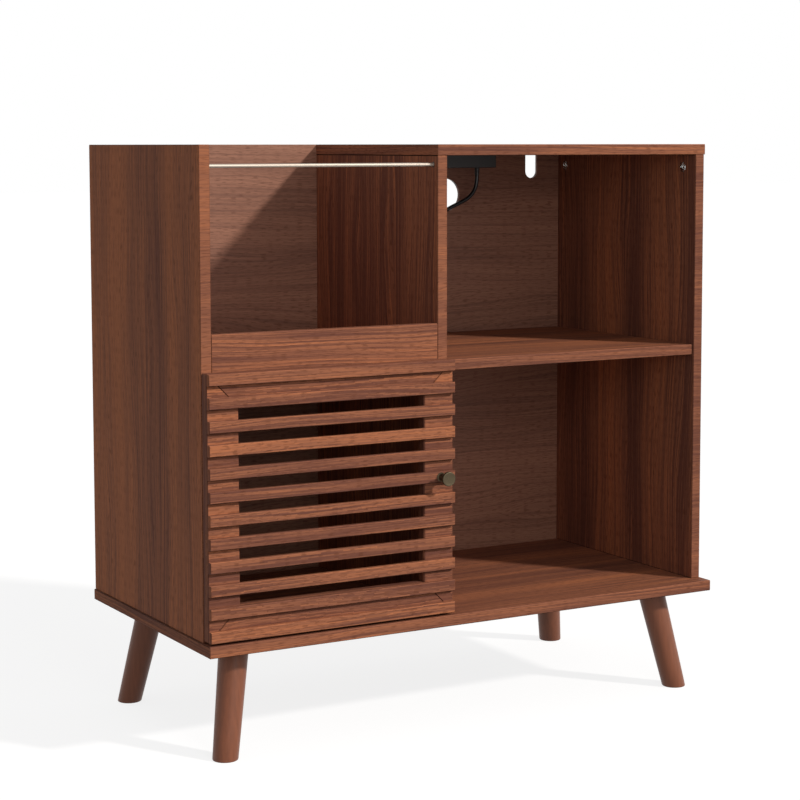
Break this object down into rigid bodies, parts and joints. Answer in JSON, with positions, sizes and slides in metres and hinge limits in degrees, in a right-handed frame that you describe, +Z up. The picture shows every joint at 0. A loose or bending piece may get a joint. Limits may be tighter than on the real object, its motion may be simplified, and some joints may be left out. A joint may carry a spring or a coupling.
{
  "type": "record cabinet",
  "caption": "Walnut-look record cabinet with an open-topped bin, open compartments, a slatted hinged door, splayed round legs and a power strip under its top.",
  "frame": {"origin": "on the floor, under the middle of the cabinet's outline, front to back over the door knob and the rear edges", "axes": "+X to the cabinet's right along its width, +Y from the open front to the back, +Z up"},
  "size_m": [0.8, 0.422, 0.795],
  "materials": {
    "walnut_laminate_vertical": "satin walnut laminate, grain upright",
    "walnut_laminate_horizontal": "satin walnut laminate, grain along the width",
    "walnut_back_panel": "walnut-printed thin back panel",
    "walnut_door_frame": "satin walnut laminate, mitred",
    "walnut_slat": "satin walnut laminate",
    "leg_lacquer": "smooth dark reddish-brown lacquer",
    "champagne_rod": "satin champagne metal",
    "bronze_knob": "dark bronze, satin",
    "zinc_fittings": "zinc plated",
    "nickel_hinge": "nickel plated",
    "beech_dowel": "plain beech",
    "brown_nylon": "moulded nylon",
    "clear_bumper": "soft clear rubber",
    "black_plastic": "moulded black plastic",
    "black_lead": "round black sheath",
    "plug_metal": "bright contact metal"
  },
  "bodies": {
    "cabinet": {"bin_front_rail": "walnut_laminate_horizontal", "bottom_panel": "walnut_laminate_horizontal", "cabinet_fitting_screws": "zinc_fittings", "cam_bolts": "zinc_fittings", "cam_locks": "zinc_fittings", "carcass_screws": "zinc_fittings", "catch_body": "brown_nylon", "catch_pole_plates": "zinc_fittings", "front_left_leg": "leg_lacquer", "front_right_leg": "leg_lacquer", "hinge_arm_pins": "nickel_hinge", "hinge_arms": "nickel_hinge", "hinge_mounting_plates": "nickel_hinge", "lead_strain_relief": "black_plastic", "lead_tie": "black_plastic", "left_side_panel": "walnut_laminate_vertical", "leg_fixings": "zinc_fittings", "lower_back_panel": "walnut_back_panel", "lower_divider": "walnut_laminate_vertical", "mains_lead": "black_lead", "mains_lead_coil": "black_lead", "plug_body": "black_plastic", "plug_pins": "plug_metal", "power_strip_housing": "black_plastic", "power_strip_sockets": "black_plastic", "rear_left_leg": "leg_lacquer", "rear_right_leg": "leg_lacquer", "record_rod": "champagne_rod", "right_side_panel": "walnut_laminate_vertical", "rod_sockets": "brown_nylon", "shelf_panel": "walnut_laminate_horizontal", "top_panel": "walnut_laminate_horizontal", "upper_back_panel": "walnut_back_panel", "upper_divider": "walnut_laminate_vertical", "wood_dowels": "beech_dowel"},
    "hinge_link_pair": {"hinge_links": "nickel_hinge"},
    "door": {"door_bottom_rail": "walnut_door_frame", "door_bumpers": "clear_bumper", "door_fitting_screws": "zinc_fittings", "door_knob": "bronze_knob", "door_left_stile": "walnut_door_frame", "door_right_stile": "walnut_door_frame", "door_slat_01": "walnut_slat", "door_slat_02": "walnut_slat", "door_slat_03": "walnut_slat", "door_slat_04": "walnut_slat", "door_slat_05": "walnut_slat", "door_slat_06": "walnut_slat", "door_slat_07": "walnut_slat", "door_slat_08": "walnut_slat", "door_slat_09": "walnut_slat", "door_slat_10": "walnut_slat", "door_slat_11": "walnut_slat", "door_slat_12": "walnut_slat", "door_top_rail": "walnut_door_frame", "hinge_cups": "nickel_hinge", "hinge_cup_pins": "nickel_hinge", "knob_screw": "zinc_fittings", "strike_plate": "zinc_fittings"}
  },
  "joints": [
    {"name": "hinge_arm_pivot", "type": "hinge", "parent": "cabinet", "child": "hinge_link_pair", "pos_m": [-0.3645, -0.1708, 0.3355], "axis": [0, 0, 1], "range_deg": [0, 61.75]},
    {"name": "door_cup_pivot", "type": "hinge", "parent": "hinge_link_pair", "child": "door", "pos_m": [-0.3827, -0.1687, 0.3355], "axis": [0, 0, 1], "range_deg": [-156.75, 0]}
  ],
  "couplings": [
    {"joint": "hinge_arm_pivot", "follows": "door_cup_pivot", "ratio": -0.3939}
  ]
}
